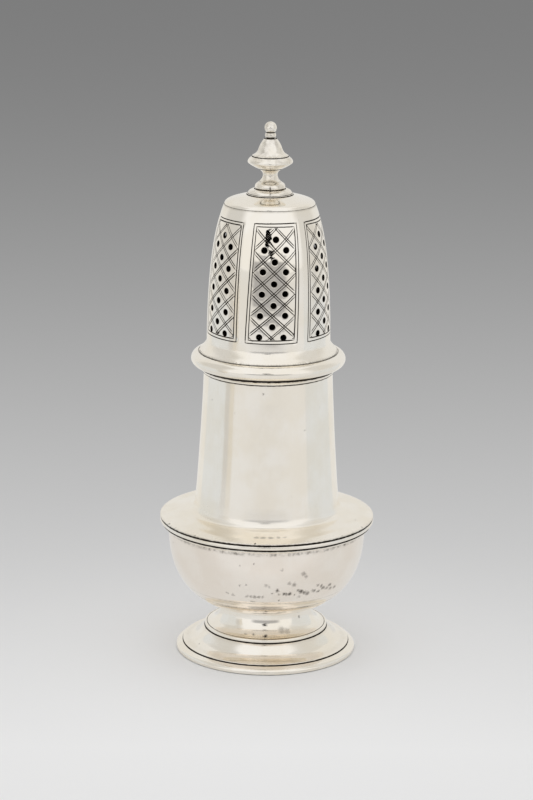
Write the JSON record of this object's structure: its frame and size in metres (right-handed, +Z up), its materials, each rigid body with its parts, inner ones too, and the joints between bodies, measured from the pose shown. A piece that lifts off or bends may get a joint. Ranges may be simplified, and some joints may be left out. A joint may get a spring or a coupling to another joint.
{
  "type": "sugar caster",
  "caption": "Footed baluster sugar caster with a round bowl, a straight neck and a tall pierced cover that lifts off, topped by a turned finial.",
  "frame": {"origin": "the middle of the foot, on the surface that the caster stands on", "axes": "+Z up along the caster's own axis, -Y to the front that the picture shows, +X to its right"},
  "size_m": [0.0702, 0.0702, 0.1754],
  "materials": {
    "polished_silver": "old silver, hand polished, softly reflecting",
    "tarnished_silver": "polished silver with dark tarnish in its grooves",
    "engraved_silver": "polished silver, pierced and engraved, tarnish in the cut lines",
    "cast_silver": "cast silver, turned and polished",
    "dull_inner_silver": "unpolished silver of the inside, satin"
  },
  "bodies": {
    "caster_body": {"foot_ring": "polished_silver", "foot_flange": "polished_silver", "foot_step": "polished_silver", "foot_stem": "polished_silver", "bowl": "polished_silver", "girdle_wire": "tarnished_silver", "neck": "polished_silver", "mouth_ring": "polished_silver"},
    "cover": {"cover_rim": "polished_silver", "cover_sleeve": "dull_inner_silver", "cover_wall": "engraved_silver", "cap": "polished_silver", "finial_nut": "dull_inner_silver", "finial_base": "cast_silver", "finial_stalk": "cast_silver", "finial_knop": "cast_silver", "finial_bell": "cast_silver", "finial_ball": "cast_silver"}
  },
  "joints": [
    {"name": "cover_lift", "type": "slide", "parent": "caster_body", "child": "cover", "axis": [0, 0, 1], "range_m": [0, 0.04]}
  ]
}
